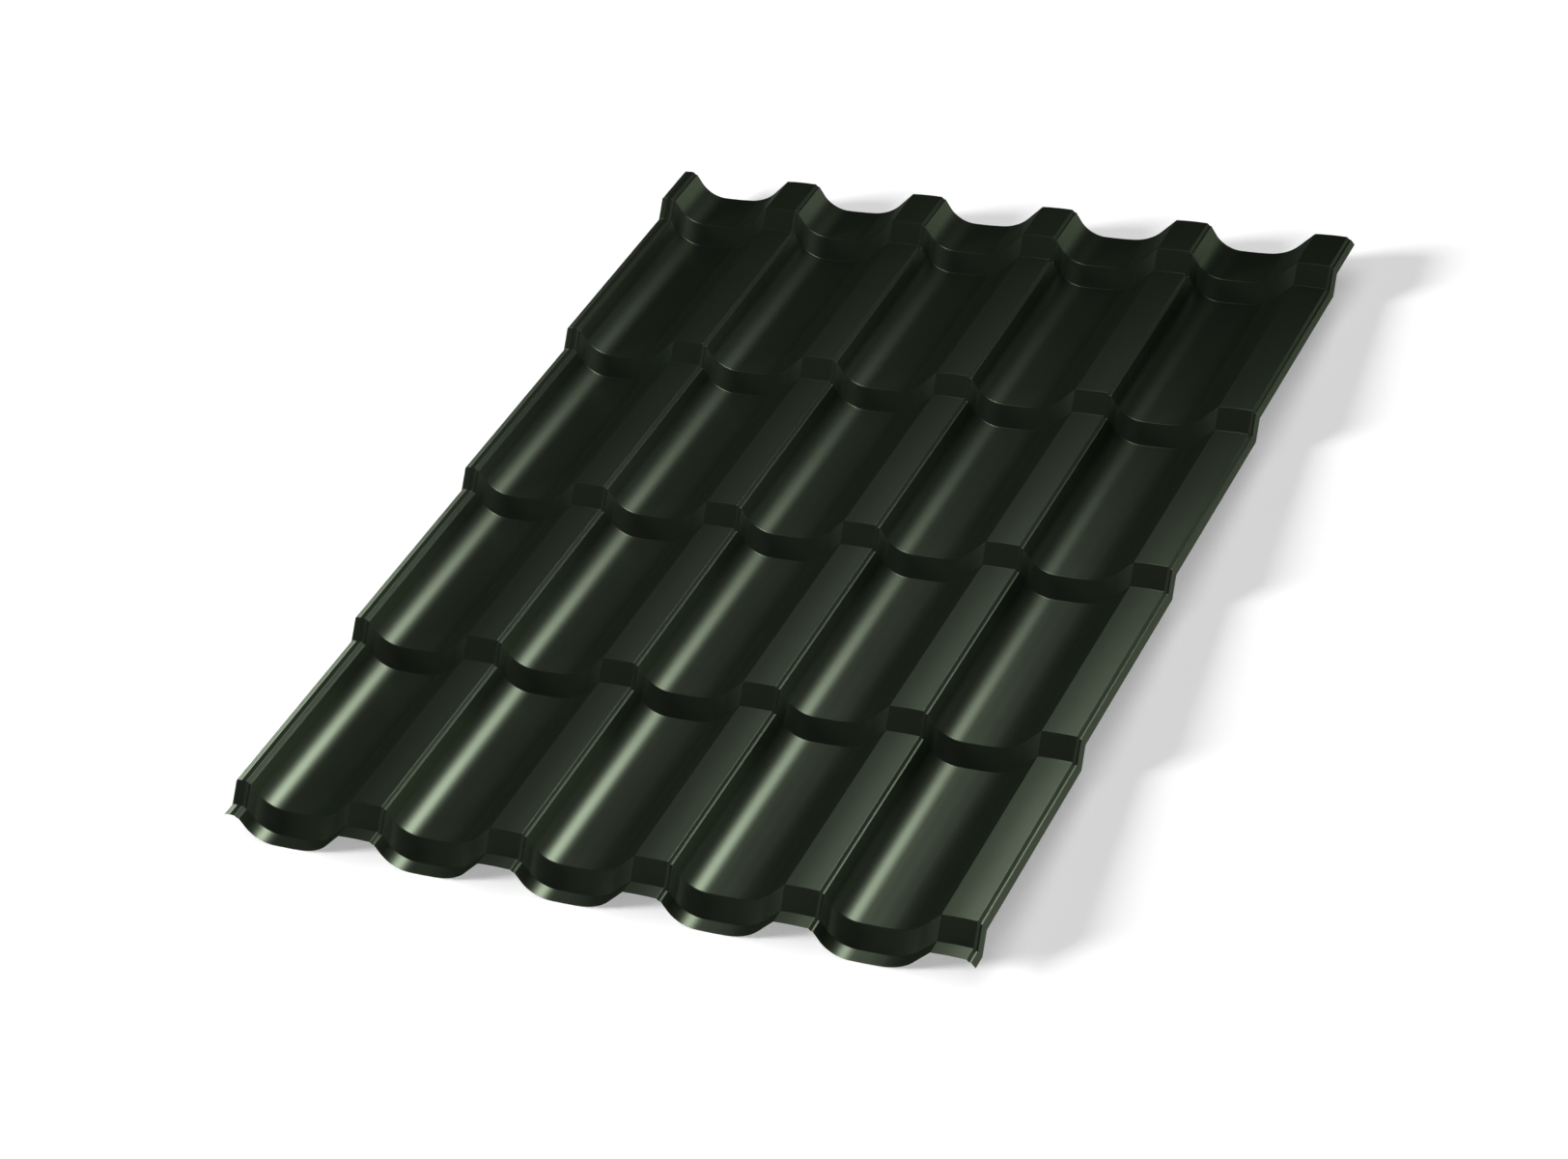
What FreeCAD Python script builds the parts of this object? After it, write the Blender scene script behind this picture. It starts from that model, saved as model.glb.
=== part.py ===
import FreeCAD, Part
import math
import os
import Sketcher

# A pressed steel roofing sheet that imitates rows of tiles. X runs across the sheet, Y up the roof slope from the
# eave edge, Z up. The wave is drawn once across the sheet and carried along the stepped line of the rows without
# turning, so each step is one straight bend from edge to edge.

os.makedirs("parts", exist_ok=True)
doc = FreeCAD.newDocument("TileSheet")

sizes = {
    "thickness": 0.5,
    "waves": 5,
    "pitch": 230.0,             # one wave
    "depth": 49.5,              # crest to the bottom of a trough
    "crest_width": 52.0,
    "groove_width": 2.0,        # the small groove along the right of each crest
    "groove_drop": 3.4,
    "bead_width": 5.9,          # groove and the ledge beside it
    "bead_drop": 5.7,
    "flank_angle": 70.0,        # steep side of a trough, degrees
    "flank_radius": 38.8,
    "rise_angle": 42.0,         # easy side of a trough, degrees
    "rise_radius": 88.0,
    "steps": 5,
    "module_length": 350.0,     # one row of tiles
    "step_rise": 24.0,
    "step_run": 26.0,           # what the step takes of the row's length
    "front_strip": 22.0,        # eave edge to the first step
    "sheet_length": 1530.0,
    "seam": 6.0,                # how far left of a crest's right corner one wave hands over to the next
    "left_width": 18.3,         # left edge to the first crest's right corner
    "lip_width": 4.2,           # turned-down left edge
    "lip_drop": 3.3,
    "rib_width": 1.7,           # one side of a water-stop groove
    "rib_drop": 1.3,
    "tip_width": 4.7,           # right edge beyond the bead
    "tip_drop": 8.7,
}
sheet = doc.addObject("Spreadsheet::Sheet", "Sizes")
for row, (alias, value) in enumerate(sizes.items(), start=1):
    sheet.set("A%d" % row, alias)
    sheet.set("B%d" % row, str(value))
    sheet.setAlias("B%d" % row, alias)
doc.recompute()


def size(alias):
    return float(sheet.get(alias))


def point(x, z):
    return FreeCAD.Vector(x, z, 0)


def along(angle, length):
    return FreeCAD.Vector(math.cos(angle) * length, math.sin(angle) * length, 0)


body = doc.addObject("PartDesign::Body", "TileSheetBody")
body.Label = "tile_sheet"


def origin(role):
    return next(item for item in body.Origin.OriginFeatures if item.Role == role)


def newSketch(name, role):
    sketch = body.newObject("Sketcher::SketchObject", name)
    sketch.AttachmentSupport = [(origin(role), "")]
    sketch.MapMode = "FlatFace"
    return sketch


def rule(sketch, kind, *items, expr=None):
    """Adds a constraint; the last item of a sized one is a first value, which the expression then takes over."""
    index = sketch.addConstraint(Sketcher.Constraint(kind, *items))
    if expr:
        sketch.setExpression("Constraints[%d]" % index, expr)
    return index


def solved(sketch):
    doc.recompute()
    if sketch.solve() != 0 or not sketch.FullyConstrained:
        raise RuntimeError("%s is not fully set: %d" % (sketch.Name, sketch.solve()))


def offsetLine(start, end, gap):
    side = FreeCAD.Vector(end.y - start.y, start.x - end.x, 0).normalize() * gap
    return start + side, end + side


def meet(first, second):
    """Where two lines, each given by two points, cross."""
    (a, b), (c, d) = first, second
    u, v = b - a, d - c
    cross = u.x * v.y - u.y * v.x
    share = ((c.x - a.x) * v.y - (c.y - a.y) * v.x) / cross
    return a + u * share


def ribbon(sketch, corners, squareStart, squareEnd):
    """Closed outline of a strip one steel thickness deep under a chain of straight runs, mitred at the corners.
    Returns nothing; lines are numbered upper first, then lower, then the two ends."""
    gap = size("thickness")
    count = len(corners) - 1
    lowered = [offsetLine(a, b, gap) for a, b in zip(corners, corners[1:])]
    lower = [meet(p, q) for p, q in zip(lowered, lowered[1:])]
    first = lowered[0][0] if squareStart else meet(lowered[0], (corners[0], corners[0] - point(0, 1)))
    last = lowered[-1][1] if squareEnd else meet(lowered[-1], (corners[-1], corners[-1] - point(0, 1)))
    lower = [first] + lower + [last]
    for chain in (corners, lower):
        for a, b in zip(chain, chain[1:]):
            sketch.addGeometry(Part.LineSegment(a, b), False)
    sketch.addGeometry(Part.LineSegment(corners[0], lower[0]), False)
    sketch.addGeometry(Part.LineSegment(corners[-1], lower[-1]), False)
    for i in range(count - 1):
        rule(sketch, "Coincident", i, 2, i + 1, 1)
        rule(sketch, "Coincident", count + i, 2, count + i + 1, 1)
    for end, (top, where) in enumerate([(0, 1), (count - 1, 2)]):
        rule(sketch, "Coincident", 2 * count + end, 1, top, where)
        rule(sketch, "Coincident", 2 * count + end, 2, count + top, where)
        if (squareStart, squareEnd)[end]:
            rule(sketch, "Perpendicular", 2 * count + end, top)
        else:
            rule(sketch, "Vertical", 2 * count + end)
    for i in range(count):
        rule(sketch, "Parallel", i, count + i)
        rule(sketch, "Distance", i, 1, count + i, gap, expr="Sizes.thickness")


def reach(sketch, line, across, drop):
    """Sets a run's width and its fall (a name with a leading minus rises)."""
    rise = drop.startswith("-")
    name = drop.lstrip("-")
    rule(sketch, "DistanceX", line, 1, line, 2, size(across), expr="Sizes." + across)
    if rise:
        rule(sketch, "DistanceY", line, 1, line, 2, size(name), expr="Sizes." + name)
    else:
        rule(sketch, "DistanceY", line, 2, line, 1, size(name), expr="Sizes." + name)


# One wave, from the seam on one crest to the seam on the next: crest, groove, ledge, flank, trough, rise, crest.
flank, rise = math.radians(size("flank_angle")), math.radians(size("rise_angle"))
groove = point(size("groove_width"), -size("groove_drop"))
ledge = point(size("bead_width"), -size("bead_drop"))
corner = point(size("pitch") - size("crest_width"), 0)
fallen = size("depth") - size("bead_drop") - size("flank_radius") * (1 - math.cos(flank))
flankEnd = ledge + along(-flank, fallen / math.sin(flank))
flankCentre = flankEnd + along(math.pi / 2 - flank, size("flank_radius"))
risen = size("depth") - size("rise_radius") * (1 - math.cos(rise))
riseStart = corner - along(rise, risen / math.sin(rise))
riseCentre = riseStart + along(math.pi / 2 + rise, size("rise_radius"))
down = -math.pi / 2

wave = newSketch("Wave", "XZ_Plane")
for gap in (0.0, size("thickness")):
    seam = point(-size("seam"), 0)
    far = point(size("pitch") - size("seam"), 0)
    corners = [seam, point(0, 0), groove, ledge, flankEnd]
    runs = [offsetLine(a, b, gap) if gap else (a, b) for a, b in zip(corners, corners[1:])]
    bends = [runs[0][0]] + [meet(p, q) for p, q in zip(runs, runs[1:])] + [runs[-1][1]]
    for a, b in zip(bends, bends[1:]):
        wave.addGeometry(Part.LineSegment(a, b), False)
    wave.addGeometry(Part.ArcOfCircle(Part.Circle(flankCentre, FreeCAD.Vector(0, 0, 1), size("flank_radius") + gap),
                                      down - flank, down), False)
    bottom = point(0, -size("depth") - gap)
    wave.addGeometry(Part.LineSegment(point(flankCentre.x, bottom.y), point(riseCentre.x, bottom.y)), False)
    wave.addGeometry(Part.ArcOfCircle(Part.Circle(riseCentre, FreeCAD.Vector(0, 0, 1), size("rise_radius") + gap),
                                      down, down + rise), False)
    runs = [offsetLine(a, b, gap) if gap else (a, b) for a, b in ((riseStart, corner), (corner, far))]
    turn = meet(*runs)
    wave.addGeometry(Part.LineSegment(runs[0][0], turn), False)
    wave.addGeometry(Part.LineSegment(turn, runs[1][1]), False)
wave.addGeometry(Part.LineSegment(seam, seam - point(0, size("thickness"))), False)
wave.addGeometry(Part.LineSegment(far, far - point(0, size("thickness"))), False)

for base in (0, 9):
    for i in (0, 1, 2, 7):
        rule(wave, "Coincident", base + i, 2, base + i + 1, 1)
    for i in (3, 4, 5, 6):
        rule(wave, "Tangent", base + i, 2, base + i + 1, 1)
    for i in (0, 5, 8):
        rule(wave, "Horizontal", base + i)
for end, where in ((18, (0, 1)), (19, (8, 2))):
    rule(wave, "Coincident", end, 1, where[0], where[1])
    rule(wave, "Coincident", end, 2, 9 + where[0], where[1])
    rule(wave, "Vertical", end)
rule(wave, "Coincident", 0, 2, -1, 1)
rule(wave, "DistanceX", 0, 1, 0, 2, size("seam"), expr="Sizes.seam")
rule(wave, "DistanceX", -1, 1, 1, 2, groove.x, expr="Sizes.groove_width")
rule(wave, "DistanceY", 1, 2, -1, 1, -groove.y, expr="Sizes.groove_drop")
rule(wave, "DistanceX", -1, 1, 2, 2, ledge.x, expr="Sizes.bead_width")
rule(wave, "DistanceY", 2, 2, -1, 1, -ledge.y, expr="Sizes.bead_drop")
rule(wave, "Angle", 3, -flank, expr="-Sizes.flank_angle * 1 deg")
rule(wave, "Radius", 4, size("flank_radius"), expr="Sizes.flank_radius")
rule(wave, "DistanceY", 5, 1, -1, 1, size("depth"), expr="Sizes.depth")
rule(wave, "Radius", 6, size("rise_radius"), expr="Sizes.rise_radius")
rule(wave, "Angle", 7, rise, expr="Sizes.rise_angle * 1 deg")
rule(wave, "PointOnObject", 7, 2, -1)
rule(wave, "DistanceX", -1, 1, 8, 1, corner.x, expr="Sizes.pitch - Sizes.crest_width")
rule(wave, "DistanceX", -1, 1, 8, 2, far.x, expr="Sizes.pitch - Sizes.seam")
for i in (1, 2, 3, 7):
    rule(wave, "Parallel", i, 9 + i)
for i in (0, 1, 2, 3, 8):
    rule(wave, "Distance", i, 1, 9 + i, size("thickness"), expr="Sizes.thickness")
for i in (4, 6):
    rule(wave, "Coincident", i, 3, 9 + i, 3)
solved(wave)

# Left edge: a lip that turns down and two grooves that stop water creeping under the next sheet.
lip = point(-size("left_width"), -size("lip_drop"))
corners = [lip, point(lip.x + size("lip_width"), 0)]
for i in range(4):
    corners.append(point(corners[-1].x + size("rib_width"), 0 if i % 2 else -size("rib_drop")))
corners.append(point(-size("seam"), 0))
leftEdge = newSketch("LeftEdge", "XZ_Plane")
ribbon(leftEdge, corners, True, False)
rule(leftEdge, "DistanceX", 0, 1, -1, 1, size("left_width"), expr="Sizes.left_width")
rule(leftEdge, "PointOnObject", 0, 2, -1)
reach(leftEdge, 0, "lip_width", "-lip_drop")
for i in (1, 3):
    reach(leftEdge, i, "rib_width", "rib_drop")
    reach(leftEdge, i + 1, "rib_width", "-rib_drop")
rule(leftEdge, "Horizontal", 5)
rule(leftEdge, "DistanceX", 5, 2, -1, 1, size("seam"), expr="Sizes.seam")
solved(leftEdge)

# Right edge: the last crest's groove and ledge, then a short flank that hooks over the next sheet's left edge.
far = size("waves") * size("pitch")
corners = [point(far - size("seam"), 0), point(far, 0), groove + point(far, 0), ledge + point(far, 0)]
corners.append(corners[-1] + point(size("tip_width"), -size("tip_drop")))
rightEdge = newSketch("RightEdge", "XZ_Plane")
ribbon(rightEdge, corners, False, True)
rule(rightEdge, "PointOnObject", 0, 1, -1)
rule(rightEdge, "Horizontal", 0)
rule(rightEdge, "DistanceX", 0, 1, 0, 2, size("seam"), expr="Sizes.seam")
rule(rightEdge, "DistanceX", -1, 1, 0, 2, far, expr="Sizes.waves * Sizes.pitch")
reach(rightEdge, 1, "groove_width", "groove_drop")
rule(rightEdge, "DistanceX", 1, 1, 2, 2, ledge.x, expr="Sizes.bead_width")
rule(rightEdge, "DistanceY", 2, 2, 1, 1, -ledge.y, expr="Sizes.bead_drop")
reach(rightEdge, 3, "tip_width", "tip_drop")
solved(rightEdge)

# The rows: short front strip, then a step up and a long fall for each row, the last one cut short.
steps = int(size("steps"))
fall = size("step_rise") / (size("module_length") - size("step_run"))
slope = "Sizes.step_rise / (Sizes.module_length - Sizes.step_run)"
stations = [point(0, size("front_strip") * fall)]
for k in range(steps):
    foot = size("front_strip") + k * size("module_length")
    stations += [point(foot, 0), point(foot + size("step_run"), size("step_rise"))]
left = size("sheet_length") - stations[-1].x
stations.append(point(size("sheet_length"), size("step_rise") - left * fall))

rows = newSketch("Rows", "YZ_Plane")
for a, b in zip(stations, stations[1:]):
    rows.addGeometry(Part.LineSegment(a, b), False)
for i in range(len(stations) - 2):
    rule(rows, "Coincident", i, 2, i + 1, 1)
rule(rows, "PointOnObject", 0, 1, -2)
rule(rows, "DistanceY", -1, 1, 0, 1, stations[0].y, expr="Sizes.front_strip * " + slope)
rule(rows, "DistanceX", -1, 1, 0, 2, size("front_strip"), expr="Sizes.front_strip")
for k in range(steps):
    riser = 2 * k + 1
    rule(rows, "PointOnObject", riser, 1, -1)
    rule(rows, "DistanceX", riser, 1, riser, 2, size("step_run"), expr="Sizes.step_run")
    rule(rows, "DistanceY", riser, 1, riser, 2, size("step_rise"), expr="Sizes.step_rise")
    if k:
        rule(rows, "DistanceX", riser - 2, 1, riser, 1, size("module_length"), expr="Sizes.module_length")
last = 2 * steps
rule(rows, "Parallel", 0, last)
rule(rows, "DistanceX", -1, 1, last, 2, size("sheet_length"), expr="Sizes.sheet_length")
solved(rows)


def press(name, profile):
    pipe = body.newObject("PartDesign::AdditivePipe", name)
    pipe.Profile = profile
    pipe.Spine = (rows, ["Edge%d" % (i + 1) for i in range(len(stations) - 1)])
    pipe.Mode = "Fixed"
    pipe.Transition = "Transformed"
    doc.recompute()
    return pipe


wavePress = press("WavePress", wave)
pattern = body.newObject("PartDesign::LinearPattern", "Waves")
pattern.Originals = [wavePress]
pattern.Direction = (origin("X_Axis"), [""])
pattern.setExpression("Length", "Sizes.pitch * (Sizes.waves - 1)")
pattern.setExpression("Occurrences", "Sizes.waves")
body.Tip = pattern
doc.recompute()
press("LeftPress", leftEdge)
press("RightPress", rightEdge)

# Centred on its outline, lowest bends on the floor.
body.setExpression("Placement.Base.x",
                   "-(Sizes.waves * Sizes.pitch + Sizes.bead_width + Sizes.tip_width - Sizes.left_width) / 2")
body.setExpression("Placement.Base.y", "-Sizes.sheet_length / 2")
body.setExpression("Placement.Base.z", "Sizes.depth + Sizes.thickness + Sizes.front_strip * " + slope)
doc.recompute()

for item in doc.Objects:
    if "Invalid" in item.State or "Error" in item.State:
        raise RuntimeError("%s did not build" % item.Name)
shape = body.Shape
if shape.isNull() or not shape.isValid() or len(shape.Solids) != 1:
    raise RuntimeError("the sheet is not one sound solid")
body.Shape.exportStep("parts/%s.step" % body.Label)
box = shape.BoundBox
print("%s %.1f x %.1f x %.1f mm, %d faces, %.0f mm3" % (body.Label, box.XLength, box.YLength, box.ZLength,
                                                        len(shape.Faces), shape.Volume))
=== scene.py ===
import math

import bpy
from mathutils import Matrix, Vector


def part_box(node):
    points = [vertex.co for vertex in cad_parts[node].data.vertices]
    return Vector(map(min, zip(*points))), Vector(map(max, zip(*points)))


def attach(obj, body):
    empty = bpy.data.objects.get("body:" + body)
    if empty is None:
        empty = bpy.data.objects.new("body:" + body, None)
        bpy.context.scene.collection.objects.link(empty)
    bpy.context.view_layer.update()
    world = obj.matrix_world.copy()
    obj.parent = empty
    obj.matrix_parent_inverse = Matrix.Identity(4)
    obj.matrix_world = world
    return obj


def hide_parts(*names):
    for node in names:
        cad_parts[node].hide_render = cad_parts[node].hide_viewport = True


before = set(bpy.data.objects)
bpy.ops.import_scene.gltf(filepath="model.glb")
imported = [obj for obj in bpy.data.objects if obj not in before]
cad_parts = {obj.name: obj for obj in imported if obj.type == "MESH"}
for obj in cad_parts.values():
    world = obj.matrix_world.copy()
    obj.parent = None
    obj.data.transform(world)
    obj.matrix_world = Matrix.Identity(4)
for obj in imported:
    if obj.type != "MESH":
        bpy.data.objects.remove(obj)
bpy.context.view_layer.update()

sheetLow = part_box("tile_sheet")[0]


def selectNone():
    if bpy.context.object and bpy.context.object.mode != "OBJECT":
        bpy.ops.object.mode_set(mode="OBJECT")
    bpy.ops.object.select_all(action="DESELECT")


def pickEdges(piece, wanted):
    # ends in edit mode, with only those edges selected whose two ends are wanted
    bpy.ops.object.mode_set(mode="EDIT")
    bpy.ops.mesh.select_mode(type="EDGE")
    bpy.ops.mesh.select_all(action="DESELECT")
    bpy.ops.object.mode_set(mode="OBJECT")
    points = piece.data.vertices
    for edge in piece.data.edges:
        edge.select = all(wanted(points[i].co) for i in edge.vertices)
    bpy.ops.object.mode_set(mode="EDIT")


def drawThrough(path, asMove):
    # pulls the selected edges along the path, one extrude from each point to the next
    for here, there in zip(path, path[1:]):
        move = asMove(there[0] - here[0], there[1] - here[1])
        bpy.ops.mesh.extrude_region_move(TRANSFORM_OT_translate={"value": move})


def slopeOf(degrees):
    return math.tan(math.radians(degrees))


def meet(a, b, point, degrees):
    # where a line from a through b crosses the line that runs through the point at this angle
    run, rise, slope = b[0] - a[0], b[1] - a[1], slopeOf(degrees)
    along = (a[1] - point[1] + slope * (point[0] - a[0])) / (slope * run - rise)
    return a[0] + along * run, a[1] + along * rise


# how fine a bend is drawn: the degrees of each straight part, coarser where the bend is tight
arcs = {"fewestParts": 4, "wideStep": 5, "tightStep": 14, "tightUpTo": 0.01}


def rounded(corners):
    # corners are (along, up, bend radius); each bend becomes an arc of short straight parts
    path = []
    for i, (along, up, radius) in enumerate(corners):
        here = Vector((along, up))
        if radius == 0:
            path.append((along, up))
            continue
        back = (Vector(corners[i - 1][:2]) - here).normalized()
        ahead = (Vector(corners[i + 1][:2]) - here).normalized()
        half = back.angle(ahead) / 2
        centre = here + (back + ahead).normalized() * (radius / math.sin(half))
        spoke = here + back * (radius / math.tan(half)) - centre
        sweep = math.pi - 2 * half
        side = 1 if back.x * ahead.y - back.y * ahead.x < 0 else -1
        step = arcs["tightStep"] if radius <= arcs["tightUpTo"] else arcs["wideStep"]
        parts = max(arcs["fewestParts"], math.ceil(math.degrees(sweep) / step))
        for k in range(parts + 1):
            turn = side * sweep * k / parts
            path.append((centre.x + spoke.x * math.cos(turn) - spoke.y * math.sin(turn),
                         centre.y + spoke.x * math.sin(turn) + spoke.y * math.cos(turn)))
    return path


# the pressed sheet, drawn from one small face at the bottom of the first trough:
# across through a wave, copied, then out to both edges, then up the roof
sheet = {
    "waves": 5, "pitch": 0.230, "depth": 0.0495,
    "crest": 0.052, "crestBend": 0.0015, "crown": 3.5, "crownBend": 0.415,
    "groove": (0.0034, -0.0052), "bead": (0.0058, -0.0055), "beadBend": 0.0006,
    "flankAngle": 70, "flankBend": 0.042, "riseAngle": 42, "riseBend": 0.084,
    "floorAt": 0.069, "firstFace": 0.004, "dish": 2.3, "dishAt": 0.012, "dishBend": 0.30,
    "rows": 5, "rowLength": 0.350, "rowRise": 0.024, "stepRun": 0.026, "stepBend": 0.0024,
    "frontStrip": 0.022, "length": 1.530,
    "ribs": [(-0.0073, 0), (-0.0090, -0.0013), (-0.0107, 0), (-0.0124, -0.0013), (-0.0141, 0)],
    "ribBend": 0.0004, "leftLip": (-0.0183, -0.0033), "rightTip": (0.0106, -0.0144),
    "steel": 0.0005, "smoothUnder": 30, "waveWeld": 0.00002, "weld": 0.00001,
}


def crownHeight(s):
    # the crest's edges lie this far under its height, and the corner that its crown rounds above
    return s["crest"] / 4 * slopeOf(s["crown"])


def dishLine(s, side):
    # where the trough's bottom starts to rise on this side, and a point further up that line
    start = (s["floorAt"] + side * s["dishAt"], -s["depth"])
    return start, (start[0] + side, start[1] + slopeOf(s["dish"]))


def flankCorners(s):
    # from the crest's right edge down to the bottom of the trough beside it
    dish, further = dishLine(s, -1)
    foot = meet(dish, further, s["bead"], -s["flankAngle"])
    return [(0, -crownHeight(s), s["beadBend"]),
            (*s["groove"], s["beadBend"]), (*s["bead"], s["beadBend"]),
            (*foot, s["flankBend"]), (*dish, s["dishBend"]),
            (s["floorAt"] - s["firstFace"] / 2, -s["depth"], 0)]


def riseCorners(s):
    # from the bottom of a trough up the easy side, with the crest's crown last
    crestAt = s["pitch"] - s["crest"]
    dish, further = dishLine(s, 1)
    foot = meet(dish, further, (crestAt, -crownHeight(s)), s["riseAngle"])
    return [(s["floorAt"] + s["firstFace"] / 2, -s["depth"], 0), (*dish, s["dishBend"]),
            (*foot, s["riseBend"]), (crestAt, -crownHeight(s), s["crestBend"]),
            (crestAt + s["crest"] / 2, crownHeight(s), s["crownBend"])]


def pathCorners(s, fall):
    # from the eave over the steps to the back edge; each row falls back to the start height
    corners = [(0, s["frontStrip"] * fall, 0)]
    for row in range(s["rows"]):
        foot = s["frontStrip"] + row * s["rowLength"]
        top = foot + s["stepRun"]
        corners += [(foot, 0, s["stepBend"]), (top, s["rowRise"], s["stepBend"])]
    # the underside of the back edge leans out by this much, so the skin stops short of it
    end = s["length"] - s["steel"] * fall
    return corners + [(end, s["rowRise"] - (end - corners[-1][0]) * fall, 0)]


def makeSheet(s, finishes):
    # finishes are those of the top, the underside and the sheared rim
    selectNone()
    fall = s["rowRise"] / (s["rowLength"] - s["stepRun"])
    deep = s["firstFace"] * math.cos(math.atan(fall))
    floorX = sheetLow.x - s["leftLip"][0] + s["floorAt"]
    front = sheetLow.y + s["steel"] * fall
    bpy.ops.mesh.primitive_plane_add(
        size=s["firstFace"], rotation=(-math.atan(fall), 0, 0),
        location=(floorX, front + deep / 2, s["steel"] + (s["frontStrip"] - deep / 2) * fall))
    piece = bpy.context.object
    piece.name = piece.data.name = "pressedSheet"
    bpy.ops.object.transform_apply(location=True, rotation=True, scale=True)
    for finish in finishes:
        piece.data.materials.append(finish)

    def across(along, up):
        return along, 0, up

    def upRoof(along, up):
        return 0, along, up

    # the easy side of the first trough, the crest and the steep side of the next one
    flank, rise = flankCorners(s), riseCorners(s)
    nextFlank = [(x + s["pitch"], z, bend) for x, z, bend in flank]
    pickEdges(piece, lambda p: p.x > floorX)
    drawThrough(rounded(rise + nextFlank), across)
    bpy.ops.object.mode_set(mode="OBJECT")

    copies = piece.modifiers.new("waves", "ARRAY")
    copies.count = s["waves"] - 1
    copies.use_relative_offset = False
    copies.use_constant_offset = True
    copies.constant_offset_displace = (s["pitch"], 0, 0)
    copies.use_merge_vertices = True
    copies.merge_threshold = s["waveWeld"]
    bpy.ops.object.modifier_apply(modifier="waves")

    # the last trough's floor, then its easy side, the last crest and the turned-down tip
    lastX = max(p.co.x for p in piece.data.vertices)
    pickEdges(piece, lambda p: p.x > lastX - s["weld"])
    tip = [(x + s["pitch"], z, bend) for x, z, bend in flank[:3]]
    tip.append((s["pitch"] + s["rightTip"][0], s["rightTip"][1], 0))
    floorStrip = [(s["floorAt"] - s["firstFace"] / 2, -s["depth"])]
    drawThrough(floorStrip + rounded(rise + tip), across)

    # the first trough's steep side, then the two pressed ribs and the lip of the left edge
    ribs = [(*rib, s["ribBend"]) for rib in s["ribs"]] + [(*s["leftLip"], 0)]
    pickEdges(piece, lambda p: p.x < floorX)
    drawThrough(rounded(flank[::-1] + ribs), across)

    # up the roof: the whole back edge is drawn over the five steps
    path = rounded(pathCorners(s, fall))
    path[0] = (deep, (s["frontStrip"] - deep) * fall)
    pickEdges(piece, lambda p: p.y > front + deep / 2)
    drawThrough(path, upRoof)
    bpy.ops.mesh.select_all(action="SELECT")
    bpy.ops.mesh.remove_doubles(threshold=s["weld"])
    bpy.ops.object.mode_set(mode="OBJECT")

    # the steel lies under the drawn skin
    wall = piece.modifiers.new("steel", "SOLIDIFY")
    wall.thickness = s["steel"]
    wall.offset = -1
    wall.use_even_offset = True
    wall.use_quality_normals = True
    wall.material_offset = 1
    wall.material_offset_rim = 2
    bpy.ops.object.modifier_apply(modifier="steel")
    bpy.ops.object.shade_smooth_by_angle(angle=math.radians(s["smoothUnder"]))
    flats = piece.modifiers.new("flats", "WEIGHTED_NORMAL")
    flats.keep_sharp = True
    bpy.ops.object.modifier_apply(modifier="flats")
    return piece


# materials; a noise is given as its scale, detail and, where it isn't plain, roughness
noiseSpan = (0.3, 0.7)  # a noise rarely leaves this span, so its two colours lie at its ends


def newMaterial(name):
    material = bpy.data.materials.new(name)
    material.use_nodes = True
    nodes = material.node_tree.nodes
    return material, nodes, material.node_tree.links, nodes["Principled BSDF"]


def noise(nodes, links, place, scale, detail, rough=0.5):
    node = nodes.new("ShaderNodeTexNoise")
    node.inputs["Scale"].default_value = scale
    node.inputs["Detail"].default_value = detail
    node.inputs["Roughness"].default_value = rough
    links.new(place, node.inputs["Vector"])
    return node.outputs["Fac"]


def ramp(nodes, links, source, low, high, start=0.0, end=1.0):
    # low and high are colours or plain numbers
    node = nodes.new("ShaderNodeValToRGB")
    for stop, value, at in zip(node.color_ramp.elements, (low, high), (start, end)):
        stop.color = (*value, 1) if isinstance(value, tuple) else (value, value, value, 1)
        stop.position = at
    links.new(source, node.inputs["Fac"])
    return node.outputs["Color"]


def stretched(nodes, links, place, scale):
    node = nodes.new("ShaderNodeMapping")
    node.inputs["Scale"].default_value = scale
    links.new(place, node.inputs["Vector"])
    return node.outputs["Vector"]


def bump(nodes, links, height, distance):
    node = nodes.new("ShaderNodeBump")
    node.inputs["Distance"].default_value = distance
    links.new(height, node.inputs["Height"])
    return node.outputs["Normal"]


coat = {
    "dark": (0.077, 0.094, 0.067), "light": (0.083, 0.101, 0.073), "cloud": (7, 3),
    "gloss": (0.393, 0.407), "drawn": (1.0, 2), "drawnStretch": (40, 1.0, 40),
    "peel": (700, 1), "peelDeep": 0.000006,
    "metallic": 0.965, "grazing": (0.027, 0.042, 0.022, 1),
    "matt": 0.004, "mattRough": 1.0, "mattColour": (0.54, 1.0, 0.41, 1),
}


def coatPaint(c):
    # satin polyester: fine orange peel, slow clouding, faint lines the way the strip was rolled
    material, nodes, links, shader = newMaterial("darkGreenCoat")
    place = nodes.new("ShaderNodeTexCoord").outputs["Object"]
    cloud = noise(nodes, links, place, *c["cloud"])
    colour = ramp(nodes, links, cloud, c["dark"], c["light"], *noiseSpan)
    links.new(colour, shader.inputs["Base Color"])
    drawn = noise(nodes, links, stretched(nodes, links, place, c["drawnStretch"]), *c["drawn"])
    links.new(ramp(nodes, links, drawn, *c["gloss"], *noiseSpan), shader.inputs["Roughness"])
    peel = noise(nodes, links, place, *c["peel"])
    links.new(bump(nodes, links, peel, c["peelDeep"]), shader.inputs["Normal"])
    shader.inputs["Metallic"].default_value = c["metallic"]
    shader.inputs["Specular Tint"].default_value = c["grazing"]
    shader.inputs["Sheen Weight"].default_value = c["matt"]
    shader.inputs["Sheen Roughness"].default_value = c["mattRough"]
    shader.inputs["Sheen Tint"].default_value = c["mattColour"]
    return material


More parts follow.
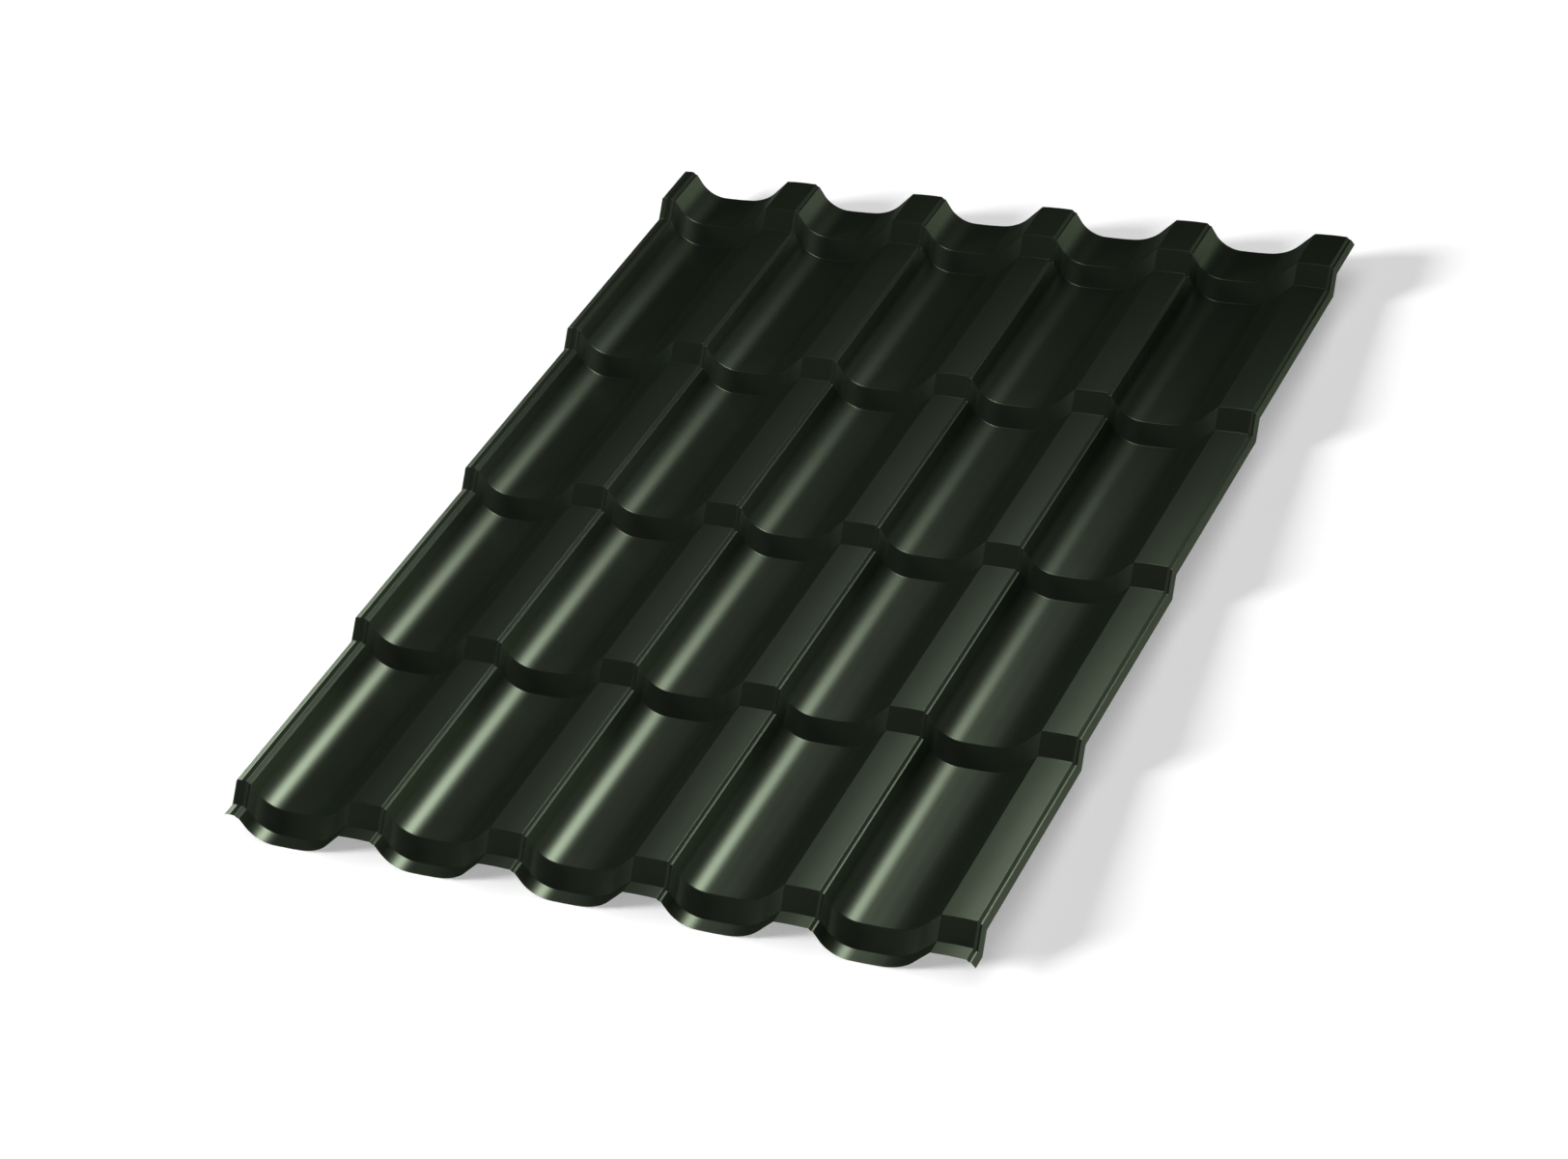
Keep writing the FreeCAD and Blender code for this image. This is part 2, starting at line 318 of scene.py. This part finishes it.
back = {
    "dark": (0.36, 0.37, 0.36), "light": (0.44, 0.45, 0.44), "cloud": (14, 6, 0.65),
    "gloss": (0.5, 0.62), "speck": (420, 1), "peelDeep": 0.00002,
}


def backPaint(b):
    # thin grey lacquer under the sheet, with rolling speckle
    material, nodes, links, shader = newMaterial("greyBackLacquer")
    place = nodes.new("ShaderNodeTexCoord").outputs["Object"]
    cloud = noise(nodes, links, place, *b["cloud"])
    speck = noise(nodes, links, place, *b["speck"])
    colour = ramp(nodes, links, cloud, b["dark"], b["light"], *noiseSpan)
    links.new(colour, shader.inputs["Base Color"])
    links.new(ramp(nodes, links, speck, *b["gloss"], *noiseSpan), shader.inputs["Roughness"])
    links.new(bump(nodes, links, speck, b["peelDeep"]), shader.inputs["Normal"])
    return material


cut = {
    "dark": (0.30, 0.31, 0.31), "light": (0.55, 0.56, 0.56), "gloss": (0.3, 0.5),
    "shear": (1.0, 3), "shearStretch": (900, 900, 120), "metallic": 1.0,
}


def cutSteel(c):
    # bare zinc and steel where the sheet was sheared
    material, nodes, links, shader = newMaterial("shearedEdge")
    place = nodes.new("ShaderNodeTexCoord").outputs["Object"]
    shear = noise(nodes, links, stretched(nodes, links, place, c["shearStretch"]), *c["shear"])
    colour = ramp(nodes, links, shear, c["dark"], c["light"], *noiseSpan)
    links.new(colour, shader.inputs["Base Color"])
    links.new(ramp(nodes, links, shear, *c["gloss"], *noiseSpan), shader.inputs["Roughness"])
    shader.inputs["Metallic"].default_value = c["metallic"]
    return material


tileSheet = makeSheet(sheet, (coatPaint(coat), backPaint(back), cutSteel(cut)))
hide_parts("tile_sheet")
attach(tileSheet, "root")
print("sheet:", len(tileSheet.data.polygons), "faces")


# floor, lamps and camera
floorLook = {
    "size": 40.0, "mottle": (3, 2), "dark": (0.88, 0.88, 0.88), "light": (0.92, 0.92, 0.92),
    "seenDark": (0.74, 0.74, 0.74), "seenLight": (0.76, 0.76, 0.76), "glow": 0.33,
}


def makeFloor(f):
    # pale floor; what the camera and the gloss see of it is lifted to white
    selectNone()
    bpy.ops.mesh.primitive_plane_add(size=f["size"], location=(0, 0, 0))
    floor = bpy.context.object
    floor.name = floor.data.name = "studioFloor"
    material, nodes, links, shader = newMaterial("paleFloor")
    place = nodes.new("ShaderNodeTexCoord").outputs["Object"]
    mottle = noise(nodes, links, place, *f["mottle"])
    plain = nodes.new("ShaderNodeBsdfDiffuse")
    links.new(ramp(nodes, links, mottle, f["dark"], f["light"]), plain.inputs["Color"])
    shaded = nodes.new("ShaderNodeBsdfDiffuse")
    links.new(ramp(nodes, links, mottle, f["seenDark"], f["seenLight"]), shaded.inputs["Color"])
    glow = nodes.new("ShaderNodeEmission")
    glow.inputs["Strength"].default_value = f["glow"]
    seen = nodes.new("ShaderNodeAddShader")
    links.new(shaded.outputs[0], seen.inputs[0])
    links.new(glow.outputs[0], seen.inputs[1])
    rays = nodes.new("ShaderNodeLightPath")
    total = rays.outputs["Is Camera Ray"]
    for name in ("Is Glossy Ray", "Is Transmission Ray"):
        add = nodes.new("ShaderNodeMath")
        add.use_clamp = True
        links.new(total, add.inputs[0])
        links.new(rays.outputs[name], add.inputs[1])
        total = add.outputs[0]
    pick = nodes.new("ShaderNodeMixShader")
    links.new(total, pick.inputs["Fac"])
    links.new(plain.outputs[0], pick.inputs[1])
    links.new(seen.outputs[0], pick.inputs[2])
    links.new(pick.outputs[0], nodes["Material Output"].inputs["Surface"])
    nodes.remove(shader)
    floor.data.materials.append(material)


keyLamp = {
    "place": (0.415, 0.719, 2.42), "turn": (-56.0, 19.9, -25.8), "size": (1.44, 1.66),
    "spread": 115, "power": 45,
}
suns = {
    "top": {"turn": (0, 0, 0), "angle": 60, "strength": 1.2},
    "side": {"turn": (0, -66, 29), "angle": 16, "strength": 4.1},
}
air = {"horizon": 0.9, "above": 0.038, "clearOf": 0.26}
camera = {"place": (2.4875, -3.6282, 3.5962), "turn": (49.2933, 11.9929, 25.1221),
          "lens": 87.394, "film": 36}


def asTurn(degrees):
    return [math.radians(angle) for angle in degrees]


def makeLamp(name, lamp):
    # a soft box that only the gloss sees
    selectNone()
    bpy.ops.object.light_add(type="AREA", location=lamp["place"], rotation=asTurn(lamp["turn"]))
    made = bpy.context.object
    made.name = name
    made.data.shape = "RECTANGLE"
    made.data.size, made.data.size_y = lamp["size"]
    made.data.energy = lamp["power"]
    made.data.spread = math.radians(lamp["spread"])
    made.visible_diffuse = False


def makeSun(name, light):
    # even light for the floor, the shadow and the matt share of the coat, kept out of the gloss
    selectNone()
    bpy.ops.object.light_add(type="SUN", rotation=asTurn(light["turn"]))
    made = bpy.context.object
    made.name = name
    made.data.angle = math.radians(light["angle"])
    made.data.energy = light["strength"]
    made.visible_glossy = False


def makeAir(a):
    # pale where the floor ends, dim from a little above it
    world = bpy.data.worlds.new("studioAir")
    world.use_nodes = True
    nodes, links = world.node_tree.nodes, world.node_tree.links
    height = nodes.new("ShaderNodeSeparateXYZ")
    links.new(nodes.new("ShaderNodeTexCoord").outputs["Generated"], height.inputs[0])
    links.new(ramp(nodes, links, height.outputs["Z"], a["horizon"], a["above"], 0, a["clearOf"]),
              nodes["Background"].inputs["Color"])
    bpy.context.scene.world = world


def makeCamera(c):
    selectNone()
    bpy.ops.object.camera_add(location=c["place"], rotation=asTurn(c["turn"]))
    view = bpy.context.object
    view.data.sensor_fit = "HORIZONTAL"
    view.data.sensor_width = c["film"]
    view.data.lens = c["lens"]
    bpy.context.scene.camera = view


makeFloor(floorLook)
makeLamp("keyLamp", keyLamp)
for name, light in suns.items():
    makeSun(name + "Light", light)
makeAir(air)
makeCamera(camera)
bpy.context.scene.view_settings.view_transform = "Standard"
print("floor, lamps and camera set")
